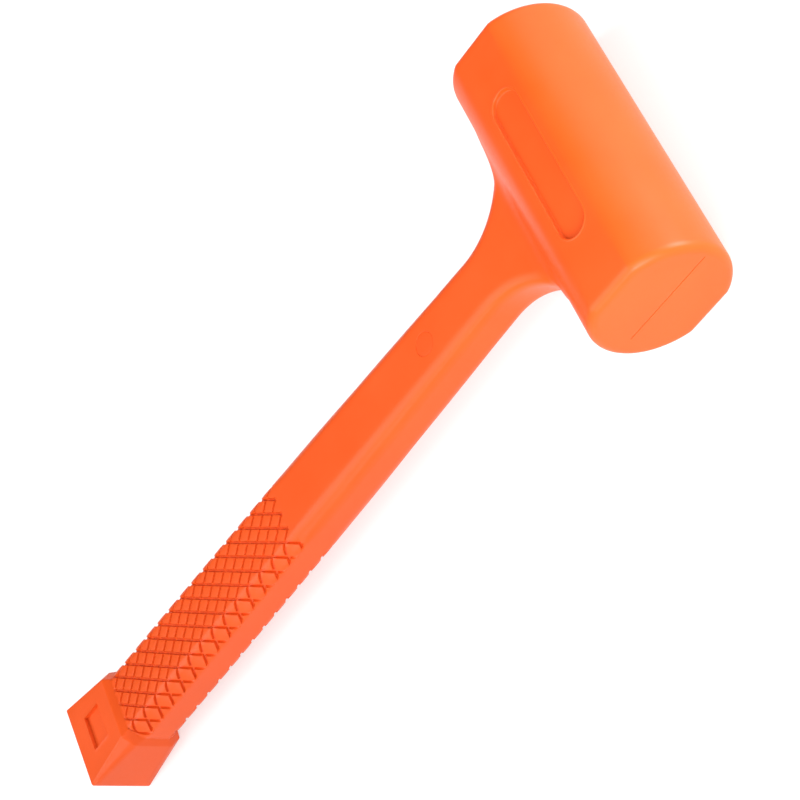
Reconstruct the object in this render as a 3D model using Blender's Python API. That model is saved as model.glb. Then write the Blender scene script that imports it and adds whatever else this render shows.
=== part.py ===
"""Dead blow mallet: a polyurethane jacket moulded over a steel shot canister and a tubular handle core.

Head frame: X runs along the head from face to face, Y runs along the handle towards the head, Z is the normal of the
head's side flats. The part lies on one side flat, with its origin at the centre of its bounding box's bottom.
"""
import math

import bmesh
import bpy

MM = 0.001

# ---- driving dimensions, in millimetres -------------------------------------------------------------------------
HEAD_LENGTH = 119.4  # face to face
HEAD_RADIUS = 26.0
SIDE_FLAT = 24.0  # half thickness between the two side flats
EDGE_RADIUS = 3.2  # rounding of the striking faces' rims
OVERALL_LOW = -336.8  # butt face, from the head's axis
PANEL_HALF_LENGTH = 33.2  # recessed panel in each side flat
PANEL_HALF_WIDTH = 6.3
PANEL_DEPTH = 1.2
NECK_TOP = -57.0  # where the handle starts to flare into the head
FLARE_RADIUS = 34.0
FILLET_START = -30.0  # the neck's faces rise from here to meet the head
FILLET_RATE = 0.055
BUTT_TOP = -309.3
RECESS_CENTRE = -321.9  # rectangular recess in the butt
RECESS_HALF = (7.6, 5.3)
RECESS_DEPTH = 1.0

CANISTER_RADIUS = 19.0
CANISTER_WALL = 2.0
CANISTER_HALF = 46.0  # half length of the tube
CAP_FLANGE = 2.0
CAP_SPIGOT = 4.0
CHARGE_LENGTH = 54.4
FILL_RADIUS = 4.0
CORE_RADIUS = 6.0
CORE_BORE = 4.0
CORE_TOP = -19.6
CORE_LOW = -316.2
SOCKET_RADIUS = 8.0
SOCKET_LOW = -31.0
PLUG_RADIUS = 4.2
PLUG_Y = -87.5
GAP = 0.3

# handle section at each distance below the head's axis: three corner points of one quarter, (x, z) each. The grip and
# the shaft are octagons with long chamfers; the butt's corners grow square towards its end face.
HANDLE_STATIONS = (
    (-57.0, (10.2, 8.85), (11.1, 7.8), (12.0, 6.75)),
    (-98.0, (11.0, 9.4), (12.1, 7.95), (13.2, 6.5)),
    (-150.0, (11.7, 10.4), (13.3, 8.35), (14.9, 6.3)),
    (-190.0, (12.0, 11.1), (13.85, 8.65), (15.7, 6.2)),
    (-259.0, (12.0, 12.1), (14.4, 9.1), (16.8, 6.1)),
    (-303.4, (12.1, 12.5), (14.65, 9.25), (17.2, 6.0)),
)
BUTT_STATIONS = (
    (-304.7, (12.1, 12.4), (14.55, 9.3), (17.0, 6.2)),
    (-308.5, (13.7, 14.1), (15.7, 11.5), (17.75, 8.9)),
    (BUTT_TOP, (13.9, 14.25), (15.9, 11.7), (17.9, 9.15)),
    (OVERALL_LOW, (18.2, 14.25), (18.45, 14.0), (18.7, 13.75)),
)

HEAD_X, HEAD_Y, HEAD_Z = 0.0, -(HEAD_RADIUS + OVERALL_LOW) / 2, SIDE_FLAT


def clear_scene():
    for ob in list(bpy.data.objects):
        bpy.data.objects.remove(ob, do_unlink=True)


def material(name, colour, roughness, metallic=0.0):
    m = bpy.data.materials.new(name)
    m.use_nodes = True
    b = m.node_tree.nodes["Principled BSDF"]
    b.inputs["Base Color"].default_value = (*colour, 1)
    b.inputs["Roughness"].default_value = roughness
    b.inputs["Metallic"].default_value = metallic
    m.diffuse_color = (*colour, 1)
    return m


def make(name, bm, mat, smooth=True):
    """An object from a bmesh in millimetres of the head frame, with its origin at the head's centre."""
    bmesh.ops.recalc_face_normals(bm, faces=bm.faces)
    for v in bm.verts:
        v.co *= MM
    mesh = bpy.data.meshes.new(name)
    bm.to_mesh(mesh)
    bm.free()
    ob = bpy.data.objects.new(name, mesh)
    bpy.context.scene.collection.objects.link(ob)
    ob.location = (HEAD_X * MM, HEAD_Y * MM, HEAD_Z * MM)
    if mat:
        mesh.materials.append(mat)
    if smooth:
        mesh.shade_smooth()
        mesh.set_sharp_from_angle(angle=math.radians(30))
    return ob


def loft(rings):
    """A closed skin through rings of equal length, with flat ends."""
    bm = bmesh.new()
    rows = [[bm.verts.new(p) for p in ring] for ring in rings]
    n = len(rows[0])
    for low, high in zip(rows, rows[1:]):
        for i in range(n):
            bm.faces.new((low[i], low[(i + 1) % n], high[(i + 1) % n], high[i]))
    bm.faces.new(rows[0])
    bm.faces.new(list(reversed(rows[-1])))
    return bm


def turned(profile, axis, sides=36):
    """A solid of revolution about X or Y from (position along the axis, radius) points; a radius of 0 closes it."""
    bm = bmesh.new()
    rows = []
    for along, radius in profile:
        if radius == 0:
            rows.append([bm.verts.new((along, 0, 0) if axis == "X" else (0, along, 0))])
            continue
        row = []
        for i in range(sides):
            a = 2 * math.pi * (i + 0.5) / sides
            p, q = radius * math.cos(a), radius * math.sin(a)
            row.append(bm.verts.new((along, p, q) if axis == "X" else (p, along, q)))
        rows.append(row)
    closed = profile[0][1] != 0
    pairs = list(zip(rows, rows[1:])) + ([(rows[-1], rows[0])] if closed else [])
    for low, high in pairs:
        for i in range(sides):
            j = (i + 1) % sides
            if len(low) == 1:
                bm.faces.new((low[0], high[j], high[i]))
            elif len(high) == 1:
                bm.faces.new((low[i], low[j], high[0]))
            else:
                bm.faces.new((low[i], low[j], high[j], high[i]))
    return bm


def prism(outline, z0, z1):
    """An upright prism over an outline in X and Y."""
    return loft([[(x, y, z0) for x, y in outline], [(x, y, z1) for x, y in outline]])


def circle(x, y, radius, sides=24):
    return [
        (x + radius * math.cos(2 * math.pi * i / sides), y + radius * math.sin(2 * math.pi * i / sides))
        for i in range(sides)
    ]


def stadium(half_length, half_width, steps=10):
    points = []
    for centre, start in ((half_length - half_width, -90), (half_width - half_length, 90)):
        for i in range(steps + 1):
            a = math.radians(start + 180 * i / steps)
            points.append((centre + half_width * math.cos(a), half_width * math.sin(a)))
    return points


def cut(ob, name, bm, operation="DIFFERENCE"):
    tool = make(name, bm, None, smooth=False)
    tool.hide_render = True
    tool.display_type = "WIRE"
    mod = ob.modifiers.new(name, "BOOLEAN")
    mod.operation = operation
    mod.solver = "EXACT"
    mod.object = tool
    return tool


def head_section(x, inset, steps=14):
    """Outline of the head at x: a circle cut by the two side flats."""
    radius = HEAD_RADIUS - inset
    top = math.asin((SIDE_FLAT - inset) / radius)
    right = []
    for i in range(steps + 1):
        a = -top + 2 * top * i / steps
        right.append((radius * math.cos(a), radius * math.sin(a)))
    left = [(-y, -z) for y, z in right]
    return [(x, y, z) for y, z in right + left]


def head_body():
    rings = []
    for i in range(5):
        a = math.radians(90 * i / 4)
        rings.append((HEAD_LENGTH / 2 - EDGE_RADIUS + EDGE_RADIUS * math.cos(a), EDGE_RADIUS * (1 - math.sin(a))))
    ends = [(-x, inset) for x, inset in rings] + [(x, inset) for x, inset in reversed(rings)]
    return loft([head_section(x, inset) for x, inset in ends])


def quarter(stations, y):
    """The three corner points of the section at y, interpolated between stations."""
    for low, high in zip(stations, stations[1:]):
        if high[0] <= y <= low[0]:
            t = (low[0] - y) / (low[0] - high[0])
            return [tuple(p + (q - p) * t for p, q in zip(low[k], high[k])) for k in (1, 2, 3)]
    return list(stations[0][1:])


def section(y, corners):
    half = corners + [(x, -z) for x, z in reversed(corners)]
    return [(x, y, z) for x, z in half + [(-x, z) for x, z in reversed(half)]]


def neck_section(y):
    """Above NECK_TOP the sides flare out in a circular arc, and near the head the faces rise in a short fillet."""
    d = min(y - NECK_TOP, FLARE_RADIUS * 0.985)
    out = FLARE_RADIUS - math.sqrt(FLARE_RADIUS**2 - d * d)
    rise = FILLET_RATE * max(0.0, y - FILLET_START) ** 2
    corners = quarter(HANDLE_STATIONS, NECK_TOP)
    return section(y, [(x + out, z + rise * z / corners[0][1]) for x, z in corners])


def handle_body():
    neck = [-18.0, -20.0, -22.0, -23.0, -24.0, -25.0, -26.5, -28.0, -30.0, -33.0, -36.0, -40.0, -44.0, -48.0, -52.5]
    rings = [neck_section(y) for y in neck]
    return loft(rings + [section(s[0], list(s[1:])) for s in HANDLE_STATIONS + BUTT_STATIONS])


def build():
    clear_scene()
    orange = material("orange_polyurethane", (0.96, 0.12, 0.016), 0.42)
    steel = material("zinc_plated_steel", (0.62, 0.63, 0.64), 0.38, 1.0)
    dark = material("drawn_steel", (0.42, 0.43, 0.45), 0.45, 1.0)
    shot = material("steel_shot", (0.5, 0.5, 0.52), 0.3, 1.0)
    black = material("black_nylon", (0.03, 0.03, 0.032), 0.55)

    # jacket: head and handle united, then hollowed for the canister, its socket and the core
    jacket = make("jacket", head_body(), orange)
    cut(jacket, "cut_handle", handle_body(), "UNION")
    end = CANISTER_HALF + CAP_FLANGE + 2 * GAP
    cut(jacket, "cut_canister", turned([(-end, 0), (-end, CANISTER_RADIUS + GAP), (end, CANISTER_RADIUS + GAP), (end, 0)], "X"))
    cut(jacket, "cut_socket", turned([(SOCKET_LOW - GAP, 0), (SOCKET_LOW - GAP, SOCKET_RADIUS + GAP), (-12, SOCKET_RADIUS + GAP), (-12, 0)], "Y", 24))
    core_end = CORE_LOW - 1.5 - 2 * GAP
    cut(jacket, "cut_core", turned([(core_end, 0), (core_end, CORE_RADIUS + GAP), (-25, CORE_RADIUS + GAP), (-25, 0)], "Y", 24))
    for side, name in ((1, "front"), (-1, "rear")):
        cut(jacket, "cut_hole_" + name, prism(circle(0, PLUG_Y, PLUG_RADIUS + GAP), side * 4.0, side * 14.0))
        cut(jacket, "cut_panel_" + name, prism(stadium(PANEL_HALF_LENGTH, PANEL_HALF_WIDTH), side * (SIDE_FLAT - PANEL_DEPTH), side * (SIDE_FLAT + 3)))
        rx, ry = RECESS_HALF
        box = [(-rx, RECESS_CENTRE - ry), (rx, RECESS_CENTRE - ry), (rx, RECESS_CENTRE + ry), (-rx, RECESS_CENTRE + ry)]
        cut(jacket, "cut_recess_" + name, prism(box, side * (14.05 - RECESS_DEPTH), side * 18))

    # plugs in the two holes where mould pins held the core; each stops short of the core's crown
    face = quarter(HANDLE_STATIONS, PLUG_Y)[0][1] - 0.05
    make("locating_plug_front", prism(circle(0, PLUG_Y, PLUG_RADIUS), CORE_RADIUS + 0.6, face), orange)
    make("locating_plug_rear", prism(circle(0, PLUG_Y, PLUG_RADIUS), -face, -CORE_RADIUS - 0.6), orange)

    # canister: tube, two flanged caps and the plug of the filling hole
    inner = CANISTER_RADIUS - CANISTER_WALL
    tube = [(-CANISTER_HALF, inner), (CANISTER_HALF, inner), (CANISTER_HALF, CANISTER_RADIUS), (-CANISTER_HALF, CANISTER_RADIUS)]
    make("canister_tube", turned(tube, "X"), dark)
    fit = inner - GAP
    seat, out, nose = CANISTER_HALF + GAP, CANISTER_HALF + GAP + CAP_FLANGE, CANISTER_HALF - CAP_SPIGOT
    profile = [(nose, 0), (nose, fit - 1.0), (nose + 1.0, fit), (seat, fit), (seat, CANISTER_RADIUS - 0.6), (seat, CANISTER_RADIUS),
               (out - 0.6, CANISTER_RADIUS), (out, CANISTER_RADIUS - 0.6), (out, 11.0), (out - 0.8, 10.0), (out - 0.8, 0)]
    make("canister_cap_right", turned(profile, "X"), steel)
    bore = FILL_RADIUS + GAP
    left = [(-x, max(r, bore)) for x, r in profile]
    make("canister_cap_left", turned(left, "X"), steel)
    plug = make("fill_plug", turned([(-out + 0.8, 0), (-out + 0.8, FILL_RADIUS - 0.4), (-out + 1.2, FILL_RADIUS), (-nose - 0.4, FILL_RADIUS), (-nose, FILL_RADIUS - 0.4), (-nose, 0)], "X", 24), dark)
    hexagon = [(-out - 1, 2.1 * math.cos(math.radians(60 * i)), 2.1 * math.sin(math.radians(60 * i))) for i in range(6)]
    cut(plug, "cut_hex", loft([hexagon, [(-out + 3.6, y, z) for _, y, z in hexagon]]))

    # the loose shot, taken together as one body that slides along the canister; at rest it lies against the right cap
    start = nose - GAP - CHARGE_LENGTH
    heap = [(start, 0), (start, 12.0), (start + 1.2, 15.4), (start + 3.0, fit), (nose - GAP - 1.0, fit), (nose - GAP, fit - 1.0), (nose - GAP, 0)]
    make("shot_charge", turned(heap, "X"), shot)

    # core socket: a sleeve under the canister, saddled to its wall
    ring = [(SOCKET_LOW, CORE_RADIUS + GAP), (SOCKET_LOW, SOCKET_RADIUS - 0.8), (SOCKET_LOW + 0.8, SOCKET_RADIUS), (-12.0, SOCKET_RADIUS), (-12.0, CORE_RADIUS + GAP)]
    socket = make("core_socket", turned(ring, "Y", 28), steel)
    cut(socket, "cut_saddle", turned([(-30, 0), (-30, CANISTER_RADIUS + GAP), (30, CANISTER_RADIUS + GAP), (30, 0)], "X"))

    core = [(CORE_TOP, CORE_BORE), (CORE_TOP, CORE_RADIUS - 0.5), (CORE_TOP - 0.5, CORE_RADIUS), (CORE_LOW, CORE_RADIUS), (CORE_LOW, CORE_BORE)]
    make("handle_core", turned(core, "Y", 28), dark)
    cap_top = CORE_LOW - GAP
    cap = [(cap_top - 1.5, 0), (cap_top - 1.5, CORE_RADIUS - 0.5), (cap_top - 1.0, CORE_RADIUS), (cap_top, CORE_RADIUS), (cap_top, CORE_BORE - GAP),
           (cap_top + 7.2, CORE_BORE - GAP), (cap_top + 8.0, CORE_BORE - 1.1), (cap_top + 8.0, 0)]
    make("core_end_cap", turned(cap, "Y", 24), black)


build()
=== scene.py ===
"""Looks of the dead blow mallet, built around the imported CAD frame.

The jacket is one moulding, so one closed skin stands for it. It is laid out in millimetres of the head frame: X along
the head, Y along the handle towards the head, Z the normal of the head's side flats, with its origin at the head's centre.
"""
import math

import bmesh
import bpy
import numpy as np
from mathutils import Matrix, Vector


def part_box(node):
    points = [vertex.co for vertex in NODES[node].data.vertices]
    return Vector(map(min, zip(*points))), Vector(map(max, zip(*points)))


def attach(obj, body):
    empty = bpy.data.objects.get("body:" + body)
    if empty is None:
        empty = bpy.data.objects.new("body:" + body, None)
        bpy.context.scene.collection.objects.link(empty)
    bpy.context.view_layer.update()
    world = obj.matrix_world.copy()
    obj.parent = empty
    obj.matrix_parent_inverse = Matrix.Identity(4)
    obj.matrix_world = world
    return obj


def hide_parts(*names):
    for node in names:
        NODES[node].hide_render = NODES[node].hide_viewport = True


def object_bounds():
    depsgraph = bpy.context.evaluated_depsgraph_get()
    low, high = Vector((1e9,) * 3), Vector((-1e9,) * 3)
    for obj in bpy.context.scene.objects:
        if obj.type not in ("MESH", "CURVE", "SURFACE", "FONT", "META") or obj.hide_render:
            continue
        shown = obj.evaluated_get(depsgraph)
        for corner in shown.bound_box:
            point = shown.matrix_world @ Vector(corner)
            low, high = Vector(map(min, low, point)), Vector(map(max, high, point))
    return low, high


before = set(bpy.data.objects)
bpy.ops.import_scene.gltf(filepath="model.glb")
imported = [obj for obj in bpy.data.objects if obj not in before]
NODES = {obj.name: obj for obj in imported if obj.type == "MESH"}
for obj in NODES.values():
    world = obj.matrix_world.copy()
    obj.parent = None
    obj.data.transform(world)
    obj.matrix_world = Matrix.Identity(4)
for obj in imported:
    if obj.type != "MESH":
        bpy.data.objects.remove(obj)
CAD_BOX = [list(c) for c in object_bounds()]
MM = 0.001

tube_low, tube_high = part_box("canister_tube")
CENTRE = (tube_low + tube_high) / 2  # the head's centre, in metres of the row frame
HALF_LENGTH = (CAD_BOX[1][0] - CAD_BOX[0][0]) / 2 / MM
RADIUS = (CAD_BOX[1][1] - CENTRE.y) / MM
FLAT = (CAD_BOX[1][2] - CAD_BOX[0][2]) / 2 / MM
BUTT_END = (CAD_BOX[0][1] - CENTRE.y) / MM
RIM = 3.2  # rounding of the striking faces' rims


def smin(a, b, k):
    h = np.maximum(k - np.abs(a - b), 0) / k
    return np.minimum(a, b) - h * h * k / 4


def smax(a, b, k):
    return -smin(-a, -b, k)


def step(t):
    t = np.clip(t, 0, 1)
    return t * t * (3 - 2 * t)


# ---- the head ---------------------------------------------------------------------------------------------------
def head_section(x, y, z):
    """Negative inside. The creases beside the flats are soft along the body and crisper at its ends."""
    soft = 0.22 + 0.9 * step((57 - np.abs(x)) / 16)
    return smax(np.hypot(y, z) - RADIUS, np.abs(z) - FLAT, soft)


def head_field(p):
    a = head_section(p[..., 0], p[..., 1], p[..., 2]) + RIM
    e = np.abs(p[..., 0]) - HALF_LENGTH + RIM
    return np.minimum(np.maximum(a, e), 0) + np.hypot(np.maximum(a, 0), np.maximum(e, 0)) - RIM


def head_radius(x, angle, inset):
    """Distance from the head's axis to its surface, inset, in the direction of angle from +Y towards +Z."""
    low, high = np.full(np.broadcast(x, angle, inset).shape, 10.0), np.full(np.broadcast(x, angle, inset).shape, 32.0)
    for _ in range(36):
        mid = (low + high) / 2
        inside = head_section(x, mid * np.cos(angle), mid * np.sin(angle)) < -inset
        low, high = np.where(inside, mid, low), np.where(inside, high, mid)
    return (low + high) / 2


# ---- the handle -------------------------------------------------------------------------------------------------
# half sizes at each distance from the head's axis: front face height, side width, and the chamfer's two legs
HANDLE = np.array([
    (-57.0, 8.85, 12.0, 1.8, 2.1),
    (-98.0, 9.4, 13.2, 2.2, 2.9),
    (-150.0, 10.4, 14.9, 3.2, 4.1),
    (-190.0, 11.1, 15.7, 3.7, 4.9),
    (-259.0, 12.1, 16.8, 4.8, 6.0),
    (-303.4, 12.5, 17.2, 5.1, 6.5),
])
NECK_TOP, FLARE = -57.0, 34.0
FLARE_CENTRE = 12.0 + FLARE
GRIP_TOP = -182.95
PITCH, ROW = 6.95, 8.75  # a pad's width across the handle and its height along it
ROWS = 14
TURN_ON = 0.084  # the pattern sits this many pads off the handle's middle
GROOVE = 1.3
VALLEY = 0.45  # the grip sinks this much where it meets the butt's shoulder


def handle_size(y):
    flipped = HANDLE[::-1]
    return [np.interp(y, flipped[:, 0], flipped[:, i]) for i in (1, 2, 3, 4)]


def handle_parts(p):
    x, y, z = np.abs(p[..., 0]), p[..., 1], np.abs(p[..., 2])
    high, wide, across, down = handle_size(y)
    front = z - high
    flare = np.where(x < FLARE_CENTRE, FLARE - np.hypot(x - FLARE_CENTRE, y - NECK_TOP), FLARE - (y - NECK_TOP))
    side = np.where(y > NECK_TOP, flare, x - wide)
    chamfer = (side / across + front / down + 1) / np.sqrt(1 / across**2 + 1 / down**2)
    grip = step((-172 - y) / 12)
    body = smax(smax(front, chamfer, 2.4 - 0.8 * grip), side, 1.8 - 1.2 * grip)
    body = np.where(y > NECK_TOP, smax(body, x - 33.5, 1.5), body)
    return body, front, side


def handle_field(p):
    return handle_parts(p)[0]


def outside(p):
    """The head and the neck in one, with a broad fillet on the faces and a small one under the flare."""
    body, front, side = handle_parts(p)
    broad = step(0.5 + (front - side) / 9)
    return smin(head_field(p), body, 2.2 + 5.4 * broad)


def slope(field, p, d=0.02):
    g = np.empty_like(p)
    for i in range(3):
        h = np.zeros(3)
        h[i] = d
        g[..., i] = (field(p + h) - field(p - h)) / (2 * d)
    return g


def settle(field, p, turns=6, most=4.0):
    """Moves points onto the surface along the field's slope."""
    for _ in range(turns):
        g = slope(field, p)
        move = -field(p)[..., None] * g / np.maximum((g * g).sum(-1, keepdims=True), 0.05)
        length = np.linalg.norm(move, axis=-1, keepdims=True)
        p = p + move * np.minimum(1, most / np.maximum(length, 1e-9))
    return p


# ---- mesh store -------------------------------------------------------------------------------------------------
class Store:
    """Vertices and faces of the skin, in millimetres."""

    def __init__(self):
        self.points, self.faces, self.count = [], [], 0

    def add(self, p):
        p = np.asarray(p, float).reshape(-1, 3)
        start = self.count
        self.points.append(p)
        self.count += len(p)
        return np.arange(start, self.count)

    def strip(self, a, b, closed=True):
        """Quads between two index rows of equal length."""
        n = len(a)
        for i in range(n if closed else n - 1):
            j = (i + 1) % n
            self.faces.append((a[i], a[j], b[j], b[i]))

    def object(self, name):
        mesh = bpy.data.meshes.new(name)
        pts = np.concatenate(self.points)
        mesh.from_pydata([tuple(v) for v in pts * MM + np.array(CENTRE)], [], [tuple(int(i) for i in f) for f in self.faces])
        bm = bmesh.new()
        bm.from_mesh(mesh)
        bmesh.ops.remove_doubles(bm, verts=bm.verts, dist=2e-6)
        bmesh.ops.dissolve_degenerate(bm, edges=bm.edges, dist=1e-7)
        bmesh.ops.recalc_face_normals(bm, faces=bm.faces)
        open_edges = sum(1 for e in bm.edges if len(e.link_faces) != 2)
        volume = bm.calc_volume(signed=True)
        if volume < 0:
            bmesh.ops.reverse_faces(bm, faces=bm.faces)
        bm.to_mesh(mesh)
        bm.free()
        ob = bpy.data.objects.new(name, mesh)
        bpy.context.scene.collection.objects.link(ob)
        mesh.shade_smooth()
        mesh.set_sharp_from_angle(angle=math.radians(44))
        print(name, len(mesh.vertices), "vertices", sum(len(p.vertices) - 2 for p in mesh.polygons), "triangles",
              open_edges, "edges without two faces", round(abs(volume) * 1e6, 2), "cm3")
        return ob


def around(loop, half, radius, centre=(0.0, 0.0)):
    """The points of a stadium nearest to each point of a loop around it; half is its core's half length along the first axis."""
    q = loop - np.array(centre)
    core = np.stack([np.clip(q[:, 0], -half, half), np.zeros(len(q))], 1)
    away = q - core
    away /= np.maximum(np.linalg.norm(away, axis=1, keepdims=True), 1e-9)
    return core + away * radius + np.array(centre)


PER = 12  # mesh steps in one pad
TICKS = np.array([0, 0.06, 0.086, 0.113, 0.18, 0.33, 0.5, 0.67, 0.82, 0.887, 0.914, 0.94])
AROUND = 14  # pads around the handle
COLUMNS = PER * AROUND


def ticks(i):
    i = np.asarray(i)
    return np.floor_divide(i, PER) + TICKS[np.mod(i, PER)]


skin = Store()

# ---- head mesh: stations along X, columns around ----------------------------------------------------------------
NECK_X, NECK_Z = 41.0, 18.0
neck_half = math.asin(NECK_Z / RADIUS)
quarter_turn = math.pi / 2
plane_half = math.asin(7.3 / FLAT)  # the flats are plane this far round
crease = math.atan2(FLAT, math.sqrt(RADIUS**2 - FLAT**2))


def spread(start, stop, n):
    return list(np.linspace(start, stop, n, endpoint=False))


f0, f1 = math.atan2(FLAT, -7.3), math.atan2(FLAT, 7.3)
ANGLES = (
    spread(math.pi, math.pi - neck_half, 12)
    + spread(math.pi - neck_half, math.pi - crease, 8) + spread(math.pi - crease, f0, 4)
    + [math.atan2(FLAT, y) for y in np.linspace(-7.3, 7.3, 13)[:-1]]
    + spread(f1, crease, 4) + spread(crease, -crease, 40) + spread(-crease, -f1, 4)
    + [math.atan2(-FLAT, y) for y in np.linspace(7.3, -7.3, 13)[:-1]]
    + spread(-f0, -math.pi + crease, 4) + spread(-math.pi + crease, -math.pi + neck_half, 8)
    + spread(-math.pi + neck_half, -math.pi, 12)
)
ANGLES = np.array(ANGLES)
AC = len(ANGLES)
I_NECK_F, I_FLAT_F = 12, 12 + 12  # where the neck's front edge and the front flat begin
I_FLAT_B = I_FLAT_F + 12 + 4 + 40 + 4
I_NECK_B = AC - 12

mid = np.linspace(-NECK_X, NECK_X, 61)
rim_turn = np.radians(np.linspace(0, 90, 8))
rim_x, rim_in = HALF_LENGTH - RIM + RIM * np.sin(rim_turn), RIM * (1 - np.cos(rim_turn))
outer_x = np.linspace(NECK_X, HALF_LENGTH - RIM, 11)[1:-1]
right_x = np.concatenate([outer_x, rim_x])
right_in = np.concatenate([np.zeros(len(outer_x)), rim_in])
XS = np.concatenate([-right_x[::-1], mid, right_x])
INS = np.concatenate([right_in[::-1], np.zeros(61), right_in])
N_OUT = len(right_x)


def column_angles(inset):
    """Columns that follow the creases as the section is inset towards a striking face."""
    now = math.atan2(FLAT - inset, math.sqrt((RADIUS - inset) ** 2 - (FLAT - inset) ** 2))
    shift = np.zeros(AC)
    for place, by in ((crease, now - crease), (math.pi - crease, crease - now), (-crease, crease - now), (crease - math.pi, now - crease)):
        shift += by * np.maximum(0, 1 - np.abs(ANGLES - place) / 0.12)
    return ANGLES + shift


head_pts = []
for x, inset in zip(XS, INS):
    ang = column_angles(inset)
    r = head_radius(x, ang, inset)
    head_pts.append(np.stack([np.full(AC, x), r * np.cos(ang), r * np.sin(ang)], 1))
head_pts = np.array(head_pts)
H = skin.add(head_pts).reshape(len(XS), AC)

PANEL_LOW, PANEL_HIGH = N_OUT + 3, N_OUT + 57  # stations that bound the panel's patch


def hole(i, j):
    """True where the head's grid is left out for the neck or a panel."""
    neck = N_OUT <= i < N_OUT + 60 and (j < I_NECK_F or j >= I_NECK_B)
    front = PANEL_LOW <= i < PANEL_HIGH and I_FLAT_F <= j < I_FLAT_F + 12
    back = PANEL_LOW <= i < PANEL_HIGH and I_FLAT_B <= j < I_FLAT_B + 12
    return neck or front or back


for i in range(len(XS) - 1):
    for j in range(AC):
        if not hole(i, j):
            k = (j + 1) % AC
            skin.faces.append((H[i, j], H[i, k], H[i + 1, k], H[i + 1, j]))

# recessed panel in each flat: a fine raised lip, a drafted wall and a flat floor
PANEL_HALF, PANEL_R, PANEL_DEPTH = 33.2, 6.3, 1.5
LIP = ((1.05, 0.0), (0.9, -0.01), (0.72, -0.08), (0.5, -0.14), (0.3, -0.12), (0.14, 0.02), (0.03, 0.25), (-0.03, 0.5), (-0.12, 1.1), (-0.2, 1.3), (-0.34, 1.43), (-0.52, 1.49), (-0.75, PANEL_DEPTH), (-3.2, PANEL_DEPTH), (-PANEL_R, PANEL_DEPTH))
for first, sign in ((I_FLAT_F, 1), (I_FLAT_B, -1)):
    lo_i, hi_i, lo_j, hi_j = PANEL_LOW, PANEL_HIGH, first, first + 12
    loop = [(i, lo_j) for i in range(lo_i, hi_i)] + [(hi_i, j) for j in range(lo_j, hi_j)]
    loop += [(i, hi_j) for i in range(hi_i, lo_i, -1)] + [(lo_i, j) for j in range(hi_j, lo_j, -1)]
    ids = np.array([H[i, j] for i, j in loop])
    flat_loop = np.array([head_pts[i, j, :2] for i, j in loop])
    last = ids
    for grow, deep in LIP:
        ring = around(flat_loop, PANEL_HALF - PANEL_R, PANEL_R + grow)
        new = skin.add(np.column_stack([ring, np.full(len(ring), sign * (FLAT - deep))]))
        skin.strip(last, new)
        last = new

# striking faces: plane, with the mould's fine parting seam across the middle
SEAM_HALF, SEAM_MID = 19.6, 2.2
for end, sign in ((0, -1), (len(XS) - 1, 1)):
    last = H[end]
    loop = head_pts[end][:, [1, 2]]
    for reach in (0.93, 0.8, 0.6, 0.4):
        core = around(loop, SEAM_HALF, 0.6, (SEAM_MID, 0.0))
        ring = core + (loop - core) * reach
        new = skin.add(np.column_stack([np.full(AC, sign * HALF_LENGTH), ring]))
        skin.strip(last, new)
        last = new
    for radius, deep in ((0.6, 0.0), (0.3, 0.0), (0.24, 0.0), (0.2, 0.03), (0.17, 0.12), (0.14, 0.8), (0.0, 0.9)):
        ring = around(loop, SEAM_HALF, radius, (SEAM_MID, 0.0))
        new = skin.add(np.column_stack([np.full(AC, sign * (HALF_LENGTH - deep)), ring]))
        skin.strip(last, new)
        last = new

# ---- grip mesh: one lattice of pads around the handle -----------------------------------------------------------
# u and v count pads along the two directions of the grooves, so every groove lies on whole numbers of u or v
LOW_D = -2 * ROWS * PER
HIGH_D = PER


def section_point(s, y, field=handle_field):
    """The plain surface at s pads around the handle (0 at the front's middle, 7 at the back's) and y along it."""
    s, y = np.broadcast_arrays(np.mod(s, AROUND), y)
    high, wide, across, down = handle_size(y)
    back = (s > AROUND / 4) & (s < 3 * AROUND / 4)
    t = np.where(back, AROUND / 2 - s, np.where(s > AROUND / 2, s - AROUND, s))  # across the face
    a = np.abs(t)
    edge = wide / PITCH  # pads from the middle to the side face
    x_front = a * PITCH
    z_front = np.minimum(high, high - (x_front - (wide - across)) / across * down)
    share = np.clip((a - edge) / (AROUND / 4 - edge), 0, 1)
    x = np.where(a < edge, x_front, wide)
    z = np.where(a < edge, z_front, (high - down) * (1 - share))
    x, z = x * np.sign(t), np.where(back, -z, z)
    p = np.stack([x, y, z], -1)
    # out or in along the line from the handle's axis until the rounded surface is met
    low, hi = np.full(x.shape, 0.5), np.full(x.shape, 1.5)
    for _ in range(34):
        m = (low + hi) / 2
        inside = field(np.stack([x * m, y, z * m], -1)) < 0
        low, hi = np.where(inside, m, low), np.where(inside, hi, m)
    m = (low + hi) / 2
    return np.stack([x * m, y, z * m], -1), a, edge


D, J = np.meshgrid(np.arange(LOW_D, HIGH_D + 1), np.arange(COLUMNS), indexing="ij")
U, V = ticks(D + J), ticks(J)
S, Y = (U + V) / 2 + TURN_ON, GRIP_TOP + (U - V) * ROW / 2
base, a, edge = section_point(S, Y)
g = slope(handle_field, base)
g[..., 1] = 0
normal = g / np.linalg.norm(g, axis=-1, keepdims=True)
du, dv = np.abs(U - np.round(U)), np.abs(V - np.round(V))


def groove(d):
    return 1 - step((d - 0.057) / 0.055)


def pillow(d):
    return 0.1 * (1 - step((d - 0.10) / 0.2))


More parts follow.
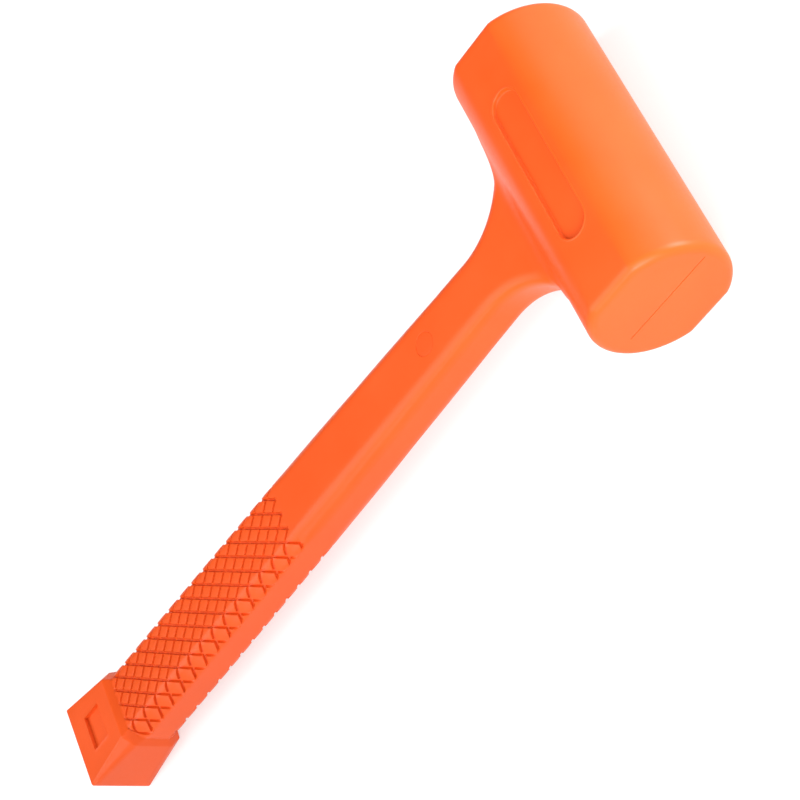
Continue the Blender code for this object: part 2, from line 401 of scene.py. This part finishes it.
cut = np.maximum(groove(du), groove(dv)) * (GROOVE - 0.1) + np.maximum(pillow(du), pillow(dv))
along_side = (a - edge) * (handle_size(Y)[0] - handle_size(Y)[3]) / np.maximum(AROUND / 4 - edge, 0.2)
cut = cut * (1 - step((np.where(a > edge, along_side, (a - edge) * PITCH) + 0.25) / 1.1))
cut = cut * (1 - step((Y - GRIP_TOP) / 0.4))
cut = np.maximum(cut, VALLEY * (1 - step((Y - (GRIP_TOP - ROWS * ROW)) / 1.6)))
grip_pts = base - normal * cut[..., None]
G = skin.add(grip_pts).reshape(D.shape)


def at(d, j):
    return G[d - LOW_D, j % COLUMNS]


for d in range(LOW_D, HIGH_D + 1):
    for j in range(COLUMNS):
        # the cell from (d, j) to one step further in both u and v; a step in v alone lowers d by one
        if d == HIGH_D:
            skin.faces.append((at(d, j), at(d, j + 1), at(d - 1, j + 1)))
        elif d == LOW_D:
            skin.faces.append((at(d, j), at(d + 1, j), at(d, j + 1)))
        else:
            skin.faces.append((at(d, j), at(d + 1, j), at(d, j + 1), at(d - 1, j + 1)))

# ---- shaft and neck ---------------------------------------------------------------------------------------------
top_s = ticks(np.arange(COLUMNS)) + 0.5 + TURN_ON  # columns where the lattice ends, in order of v
shaft_y = np.concatenate([np.linspace(GRIP_TOP + ROW / 2, -98, 16)[1:], np.linspace(-98, -77, 13)[1:], np.linspace(-77, NECK_TOP, 9)[1:]])
last = G[HIGH_D - LOW_D]
shaft_rows, shaft_pts = [], []
for y in shaft_y:
    pts = section_point(top_s, np.full(COLUMNS, y))[0]
    new = skin.add(pts)
    shaft_rows.append(new)
    shaft_pts.append(pts)

# a witness ring in the shaft's front and back, around each locating plug
PLUG_Y = -87.5
plug_low, plug_high = int(np.argmin(np.abs(shaft_y + 96.25))), int(np.argmin(np.abs(shaft_y + 78.75)))


def column_of(s):
    return int(np.argmin(np.abs(np.mod(top_s - s + AROUND / 2, AROUND) - AROUND / 2)))


def in_patch(row, j):
    s = np.mod(top_s[j] + 0.001, AROUND)
    front = s < 1.0 - 0.002 or s >= AROUND - 1.0
    rear = AROUND / 2 - 1.0 <= s < AROUND / 2 + 1.0 - 0.002
    return plug_low <= row < plug_high and (front or rear)


for row, new in enumerate(shaft_rows):
    for j in range(COLUMNS):
        if row == 0 or not in_patch(row - 1, j):
            k = (j + 1) % COLUMNS
            skin.faces.append((last[j], last[k], new[k], new[j]))
    last = new

PLUG_R = 4.5
for middle in (0.0, AROUND / 2):
    j0, j1 = column_of(middle - 1.0), column_of(middle + 1.0)
    js = [j % COLUMNS for j in range(j0, j0 + (j1 - j0) % COLUMNS + 1)]
    loop = [(plug_low, j) for j in js[:-1]] + [(r, js[-1]) for r in range(plug_low, plug_high)]
    loop += [(plug_high, j) for j in js[:0:-1]] + [(r, js[0]) for r in range(plug_high, plug_low, -1)]
    ids = np.array([shaft_rows[r][j] for r, j in loop])
    flat_loop = np.array([shaft_pts[r][j][:2] for r, j in loop])
    sign = 1 if middle == 0.0 else -1
    last_ring = ids
    for grow, deep in ((0.35, 0.0), (0.12, 0.0), (0.04, 0.03), (0.0, 0.12), (0.0, 2.4), (-0.3, 2.6), (-PLUG_R, 2.6)):
        ring = around(flat_loop, 0.0, PLUG_R + grow, (0.0, PLUG_Y))
        z = handle_size(ring[:, 1])[0] - deep
        new = skin.add(np.column_stack([ring, sign * z]))
        skin.strip(last_ring, new)
        last_ring = new

# the neck: from the shaft's top ring to the edge of the head's opening, laid on the blended surface
# columns by place: the front edge takes 5 pads, each side 2, the back 5
start = column_of(-2.5)
js = [(start + k) % COLUMNS for k in range(COLUMNS)]
edge_cells = [(i, I_NECK_F) for i in range(N_OUT, N_OUT + 60)]
edge_cells += [(N_OUT + 60, j) for j in list(range(I_NECK_F, -1, -1)) + list(range(AC - 1, I_NECK_B, -1))]
edge_cells += [(i, I_NECK_B) for i in range(N_OUT + 60, N_OUT, -1)]
edge_cells += [(N_OUT, j) for j in list(range(I_NECK_B, AC)) + list(range(0, I_NECK_F))]
assert len(edge_cells) == COLUMNS, (len(edge_cells), COLUMNS)
bottom = np.array([shaft_pts[-1][j] for j in js])
bottom_ids = np.array([shaft_rows[-1][j] for j in js])
topline = np.array([head_pts[i, j] for i, j in edge_cells])
top_ids = np.array([H[i, j] for i, j in edge_cells])

NECK_ROWS = 34
t = np.linspace(0, 1, NECK_ROWS + 1)[:, None, None]
flow = bottom + (topline - bottom) * t**1.6
flow[..., 1] = (bottom + (topline - bottom) * t)[..., 1]
flow[1:-1] = settle(outside, flow[1:-1], 10, 2.0)
for turn in range(260):
    inner = flow[1:-1]
    ring = (np.roll(inner, 1, axis=1) + np.roll(inner, -1, axis=1)) / 2
    line = (flow[:-2] + flow[2:]) / 2
    moved = inner + 0.5 * ((ring + line) / 2 - inner)
    flow[1:-1] = settle(outside, moved, 1 if turn < 250 else 4, 1.0)
last = bottom_ids
for row in range(1, NECK_ROWS):
    new = skin.add(flow[row])
    skin.strip(last, new)
    last = new
skin.strip(last, top_ids)

# ---- butt -------------------------------------------------------------------------------------------------------
# three corners of a quarter of the section at each distance, (x, z) each
BUTT = np.array([
    (-306.2, 12.1, 12.15, 14.2, 9.2, 16.6, 6.3),
    (-308.8, 13.75, 14.08, 15.72, 11.5, 17.7, 8.95),
    (-309.3, 13.9, 14.25, 15.9, 11.7, 17.9, 9.15),
    (BUTT_END, 18.2, 14.25, 18.45, 14.0, 18.7, 13.75),
])
RECESS_Y, RECESS_X, RECESS_HALF_Y, RECESS_DEPTH = -321.9, 7.6, 5.3, 1.5
S_A, S_M, S_B = 2.0, 2.33, 2.5


def butt_ring(y, inset=0.0):
    """Section of the butt at y, with the recess's columns kept at its walls."""
    flipped = BUTT[::-1]
    ax, az, mx, mz, bx, bz = [np.interp(y, flipped[:, 0], flipped[:, i]) for i in range(1, 7)]
    s = ticks(np.arange(COLUMNS))
    back = (s > AROUND / 4) & (s < 3 * AROUND / 4)
    t = np.where(back, AROUND / 2 - s, np.where(s > AROUND / 2, s - AROUND, s))
    a = np.abs(t)
    knots = [0, 1.075, 1.105, S_A, S_M, S_B, AROUND / 4]
    x = np.interp(a, knots, [0, RECESS_X - 0.13, RECESS_X + 0.09, ax, mx, bx, bx])
    z = np.interp(a, knots, [az, az, az, az, mz, bz, 0])
    # a little rounding on the three long edges
    for s0, sharp in ((S_A, 0.06), (S_M, 0.12), (S_B, 0.06)):
        near = np.isclose(a, s0)
        x, z = np.where(near, x - sharp * 0.7, x), np.where(near, z - sharp * 0.7, z)
    x, z = x * (1 - inset / 18.0), z * (1 - inset / 14.0)
    recess = (a < 1.09) & (abs(y - RECESS_Y) < RECESS_HALF_Y)
    z = np.where(recess, z - RECESS_DEPTH, z)
    # the recess's fine raised rim
    beside = (np.abs(a - 1.113) < 0.005) & (abs(y - RECESS_Y) < RECESS_HALF_Y + 0.15)
    across_it = (a < 1.118) & (abs(abs(y - RECESS_Y) - RECESS_HALF_Y - 0.1) < 0.02)
    z = np.where(beside | across_it, z + 0.12, z)
    return np.column_stack([x * np.sign(t), np.full(COLUMNS, y), np.where(back, -z, z)])


last = G[0]
top_wall, low_wall = RECESS_Y + RECESS_HALF_Y, RECESS_Y - RECESS_HALF_Y
butt_y = [-306.2, -306.5, -307.1, -307.8, -308.4, -308.75, -309.0, -309.25, -309.6, -310.5, -313.0]
butt_y += [top_wall + 0.6, top_wall + 0.1, top_wall - 0.1, top_wall - 0.5, -319.5, RECESS_Y, -324.5, low_wall + 0.5, low_wall + 0.1, low_wall - 0.1, low_wall - 0.6]
butt_y += [-330.0, -333.0, -335.4, BUTT_END + 0.5]
for y in butt_y:
    pts = butt_ring(y)
    new = skin.add(pts)
    skin.strip(last, new)
    last = new
for y, inset in ((BUTT_END + 0.15, 0.12), (BUTT_END, 0.45)):
    new = skin.add(butt_ring(y, inset))
    skin.strip(last, new)
    last = new
for shrink in (0.8, 0.55, 0.3, 0.0):
    pts = butt_ring(BUTT_END, 0.45) * np.array([shrink, 1, shrink])
    new = skin.add(pts)
    skin.strip(last, new)
    last = new

jacket = skin.object("jacket_skin")

# ---- locating plugs: flush discs in their holes -----------------------------------------------------------------
def plug(name, sign):
    store = Store()
    rings = []
    for radius, deep in ((0.0, 0.03), (2.2, 0.03), (PLUG_R - 0.25, 0.03), (PLUG_R - 0.09, 0.05), (PLUG_R - 0.03, 0.13), (PLUG_R - 0.03, 2.3), (2.0, 2.3), (0.0, 2.3)):
        turn = np.linspace(0, 2 * math.pi, 72, endpoint=False)
        x, y = radius * np.cos(turn), PLUG_Y + radius * np.sin(turn)
        rings.append(store.add(np.column_stack([x, y, sign * (handle_size(y)[0] - deep)])))
    for one, two in zip(rings, rings[1:]):
        store.strip(one, two)
    return store.object(name)


plug_front, plug_rear = plug("plug_front", 1), plug("plug_rear", -1)

# ---- the loose shot: balls packed in the space of the CAD charge ------------------------------------------------
BALL = 2.4
charge_low, charge_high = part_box("shot_charge")
c_low, c_high = (charge_low - CENTRE) / MM, (charge_high - CENTRE) / MM
rng = np.random.default_rng(7)
gap = BALL * 2.04
centres = []
for i in range(40):
    x = c_low.x + BALL + 0.2 + i * gap * math.sqrt(2 / 3)
    if x > c_high.x - BALL - 0.1:
        break
    for j in range(-9, 10):
        for k in range(-9, 10):
            y = (j + k / 2 + (i % 2) / 2) * gap
            z = (k + (i % 2) / 3) * gap * math.sqrt(3) / 2
            if math.hypot(y, z) < c_high.y - BALL - 0.15:
                centres.append((x, y, z))
centres = np.array(centres) + rng.uniform(-0.08, 0.08, (len(centres), 3))
ball = bmesh.new()
bmesh.ops.create_icosphere(ball, subdivisions=2, radius=BALL)
ball_v = np.array([v.co for v in ball.verts])
ball_f = [tuple(v.index for v in f.verts) for f in ball.faces]
ball.free()
shot = bpy.data.meshes.new("shot_balls")
verts = (centres[:, None, :] + ball_v[None]).reshape(-1, 3) * MM + np.array(CENTRE)
faces = [tuple(i + n * len(ball_v) for i in f) for n in range(len(centres)) for f in ball_f]
shot.from_pydata([tuple(v) for v in verts], [], faces)
shot.shade_smooth()
shot_balls = bpy.data.objects.new("shot_balls", shot)
bpy.context.scene.collection.objects.link(shot_balls)
print("shot", len(centres), "balls")


# ---- materials --------------------------------------------------------------------------------------------------
class Graph:
    def __init__(self, name):
        self.m = bpy.data.materials.new(name)
        self.m.use_nodes = True
        self.t = self.m.node_tree
        self.b = self.t.nodes["Principled BSDF"]
        self.where = self.node("ShaderNodeTexCoord").outputs["Object"]

    def node(self, kind, **values):
        n = self.t.nodes.new(kind)
        for k, v in values.items():
            setattr(n, k, v)
        return n

    def link(self, a, b):
        self.t.links.new(a, b)

    def noise(self, scale, detail=2.0, rough=0.5, stretch=None):
        n = self.node("ShaderNodeTexNoise")
        n.inputs["Scale"].default_value = scale
        n.inputs["Detail"].default_value = detail
        n.inputs["Roughness"].default_value = rough
        source = self.where
        if stretch:
            mapping = self.node("ShaderNodeMapping")
            mapping.inputs["Scale"].default_value = stretch
            self.link(self.where, mapping.inputs["Vector"])
            source = mapping.outputs["Vector"]
        self.link(source, n.inputs["Vector"])
        return n.outputs["Fac"]

    def between(self, value, low, high, start=0.0, stop=1.0):
        n = self.node("ShaderNodeMapRange")
        n.inputs["From Min"].default_value, n.inputs["From Max"].default_value = start, stop
        n.inputs["To Min"].default_value, n.inputs["To Max"].default_value = low, high
        self.link(value, n.inputs["Value"])
        return n.outputs["Result"]

    def blend(self, value, one, two):
        n = self.node("ShaderNodeMix", data_type="RGBA")
        self.link(value, n.inputs["Factor"])
        n.inputs["A"].default_value, n.inputs["B"].default_value = (*one, 1), (*two, 1)
        return n.outputs["Result"]

    def bump(self, *layers):
        last = None
        for height, strength, distance in layers:
            n = self.node("ShaderNodeBump")
            n.inputs["Strength"].default_value, n.inputs["Distance"].default_value = strength, distance
            self.link(height, n.inputs["Height"])
            if last:
                self.link(last, n.inputs["Normal"])
            last = n.outputs["Normal"]
        self.link(last, self.b.inputs["Normal"])

    def math(self, kind, a, b):
        n = self.node("ShaderNodeMath", operation=kind)
        for i, v in enumerate((a, b)):
            if isinstance(v, (int, float)):
                n.inputs[i].default_value = v
            else:
                self.link(v, n.inputs[i])
        return n.outputs[0]


def polyurethane(name, deep, pale):
    """Satin moulded polyurethane: a fine eroded mould grain, faint flow marks and slight handling sheen."""
    g = Graph(name)
    clouds = g.noise(38, 3, 0.55)
    grain = g.noise(2600, 2, 0.6)
    fine = g.noise(900, 3, 0.6)
    g.link(g.blend(g.between(clouds, 0, 1, 0.3, 0.7), deep, pale), g.b.inputs["Base Color"])
    rough = g.math("ADD", g.between(clouds, 0.35, 0.41, 0.3, 0.7), g.between(fine, -0.03, 0.03, 0.3, 0.7))
    g.link(rough, g.b.inputs["Roughness"])
    g.bump((clouds, 0.05, 0.0006), (fine, 0.10, 0.00008), (grain, 0.12, 0.00003))
    g.b.inputs["Specular IOR Level"].default_value = 0.21
    g.b.inputs["IOR"].default_value = 1.5
    return g.m


def metal(name, dark, light, low, high, stretch, lines):
    """Bare or plated steel: drawing lines along the piece and a mottled finish."""
    g = Graph(name)
    mottle = g.noise(160, 4, 0.6)
    streak = g.noise(lines, 3, 0.65, stretch)
    mixed = g.math("MULTIPLY", mottle, streak)
    g.link(g.blend(g.between(mixed, 0, 1, 0.12, 0.42), dark, light), g.b.inputs["Base Color"])
    g.link(g.between(streak, low, high, 0.25, 0.75), g.b.inputs["Roughness"])
    g.bump((streak, 0.25, 0.00004), (mottle, 0.08, 0.00006))
    g.b.inputs["Metallic"].default_value = 1.0
    return g.m


def nylon(name):
    g = Graph(name)
    grain, clouds = g.noise(1500, 3, 0.6), g.noise(90, 2, 0.5)
    g.link(g.blend(clouds, (0.022, 0.022, 0.024), (0.04, 0.04, 0.042)), g.b.inputs["Base Color"])
    g.link(g.between(clouds, 0.45, 0.62, 0.3, 0.7), g.b.inputs["Roughness"])
    g.bump((grain, 0.2, 0.00003))
    return g.m


orange = polyurethane("orange_polyurethane", (0.72, 0.080, 0.009), (0.76, 0.088, 0.012))
plug_orange = polyurethane("orange_plug", (0.70, 0.076, 0.009), (0.74, 0.084, 0.012))
drawn_x = metal("drawn_steel_x", (0.30, 0.31, 0.33), (0.50, 0.51, 0.53), 0.32, 0.5, (0.04, 1, 1), 900)
drawn_y = metal("drawn_steel_y", (0.30, 0.31, 0.33), (0.50, 0.51, 0.53), 0.32, 0.5, (1, 0.04, 1), 900)
zinc = metal("zinc_plated_steel", (0.50, 0.52, 0.55), (0.72, 0.73, 0.74), 0.28, 0.42, (1, 1, 1), 420)
bare = metal("steel_shot", (0.42, 0.42, 0.44), (0.62, 0.62, 0.64), 0.18, 0.34, (1, 1, 1), 700)
black = nylon("black_nylon")


def dress(ob, material):
    ob.data.materials.clear()
    ob.data.materials.append(material)


for ob, material, slot, nodes, body in (
    (jacket, orange, "orange_polyurethane", ["jacket"], "mallet"),
    (plug_front, plug_orange, "orange_polyurethane", ["locating_plug_front"], "mallet"),
    (plug_rear, plug_orange, "orange_polyurethane", ["locating_plug_rear"], "mallet"),
    (shot_balls, bare, "steel_shot", ["shot_charge"], "shot"),
):
    dress(ob, material)
    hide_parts(*nodes)
    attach(ob, body)
for node, material in (("canister_tube", drawn_x), ("fill_plug", drawn_x), ("handle_core", drawn_y), ("core_socket", zinc),
                       ("canister_cap_right", zinc), ("canister_cap_left", zinc), ("core_end_cap", black)):
    dress(NODES[node], material)

# ---- floor, light, camera ---------------------------------------------------------------------------------------
# the mallet rests on the edge of its lower flat and on the butt, so the floor leans with them
skin_pts = np.array([v.co for v in jacket.data.vertices])
low_side = skin_pts[skin_pts[:, 2] < CENTRE.z]
balance = CENTRE.y - 0.06
head_side, butt_side = low_side[low_side[:, 1] > balance], low_side[low_side[:, 1] <= balance]
tilt = 0.0
for _ in range(40):
    height_head = head_side[:, 2] - tilt * head_side[:, 1]
    height_butt = butt_side[:, 2] - tilt * butt_side[:, 1]
    a, b = head_side[height_head.argmin()], butt_side[height_butt.argmin()]
    tilt = (a[2] - b[2]) / (a[1] - b[1])
rise = a[2] - tilt * a[1]
size = 6.0
floor_mesh = bpy.data.meshes.new("floor")
floor_mesh.from_pydata([(x, y, rise + tilt * y - 0.0001) for x, y in ((-size, -size), (size, -size), (size, size), (-size, size))], [], [(0, 1, 2, 3)])
floor = bpy.data.objects.new("floor", floor_mesh)
bpy.context.scene.collection.objects.link(floor)
g = Graph("pale_floor")
g.link(g.blend(g.noise(3, 2), (0.44, 0.44, 0.44), (0.46, 0.46, 0.46)), g.b.inputs["Base Color"])
g.link(g.between(g.noise(40, 2), 0.75, 0.85), g.b.inputs["Roughness"])
g.bump((g.noise(800, 2), 0.05, 0.0001))
g.b.inputs["Specular IOR Level"].default_value = 0.2
g.b.inputs["Emission Color"].default_value = (1, 1, 1, 1)  # a lit table, which takes the darkness out of the shadow
g.b.inputs["Emission Strength"].default_value = 0.56
floor_mesh.materials.append(g.m)

world = bpy.data.worlds.new("studio")
bpy.context.scene.world = world
world.use_nodes = True
world.node_tree.nodes["Background"].inputs["Color"].default_value = (1, 1, 1, 1)
world.node_tree.nodes["Background"].inputs["Strength"].default_value = 0.2


def distant(name, towards, level, spread_deg, colour=(1, 1, 1)):
    """A far softbox: level is what it adds to a white surface square to it."""
    light = bpy.data.lights.new(name, "SUN")
    light.energy, light.angle, light.color = level * math.pi, math.radians(spread_deg), colour
    ob = bpy.data.objects.new(name, light)
    bpy.context.scene.collection.objects.link(ob)
    ob.location = CENTRE + Vector(towards).normalized() * 2
    ob.rotation_euler = Vector(towards).to_track_quat("Z", "Y").to_euler()
    return ob


def softbox(name, offset, width, height, watts, beam_deg=180):
    """A near softbox that faces the head; a grid may narrow its beam."""
    light = bpy.data.lights.new(name, "AREA")
    light.shape, light.size, light.size_y, light.energy = "RECTANGLE", width, height, watts
    light.spread = math.radians(beam_deg)
    ob = bpy.data.objects.new(name, light)
    bpy.context.scene.collection.objects.link(ob)
    ob.location = CENTRE + Vector(offset)
    ob.rotation_euler = Vector(offset).to_track_quat("Z", "Y").to_euler()
    return ob


distant("front", (0.60, 0.42, 0.68), 0.33, 9)
distant("key", (0.14, -0.50, 0.85), 0.85, 60)
distant("edge", (0.82, -0.42, 0.40), 0.20, 16)
distant("far_side", (-0.54, 0.78, 0.26), 0.31, 46)
softbox("head_side", (0.02, 0.44, 0.012), 0.3, 0.16, 3.4)
softbox("face_side", (0.38, 0.06, 0.16), 0.16, 0.16, 0.26, 70)

# the camera: its place and turn about the head's centre, and its field of view
EYE = Vector((0.470316, 0.329621, 0.548199))
TURN = Vector((-2.374376, -1.156102, 1.168004))
seen = Matrix.Rotation(TURN.length, 3, TURN.normalized())  # rows: right, down, forward
camera = bpy.data.cameras.new("camera")
camera.sensor_width = 36.0
camera.lens = 36.0 * 2336.96 / 800
camera.clip_end = 50
eye = bpy.data.objects.new("camera", camera)
bpy.context.scene.collection.objects.link(eye)
right, down, ahead = seen[0], seen[1], seen[2]
turn = Matrix((right, -down, -ahead)).transposed()
eye.matrix_world = Matrix.Translation(CENTRE + EYE) @ turn.to_4x4()
bpy.context.scene.camera = eye

bpy.context.scene.view_settings.view_transform = "Standard"
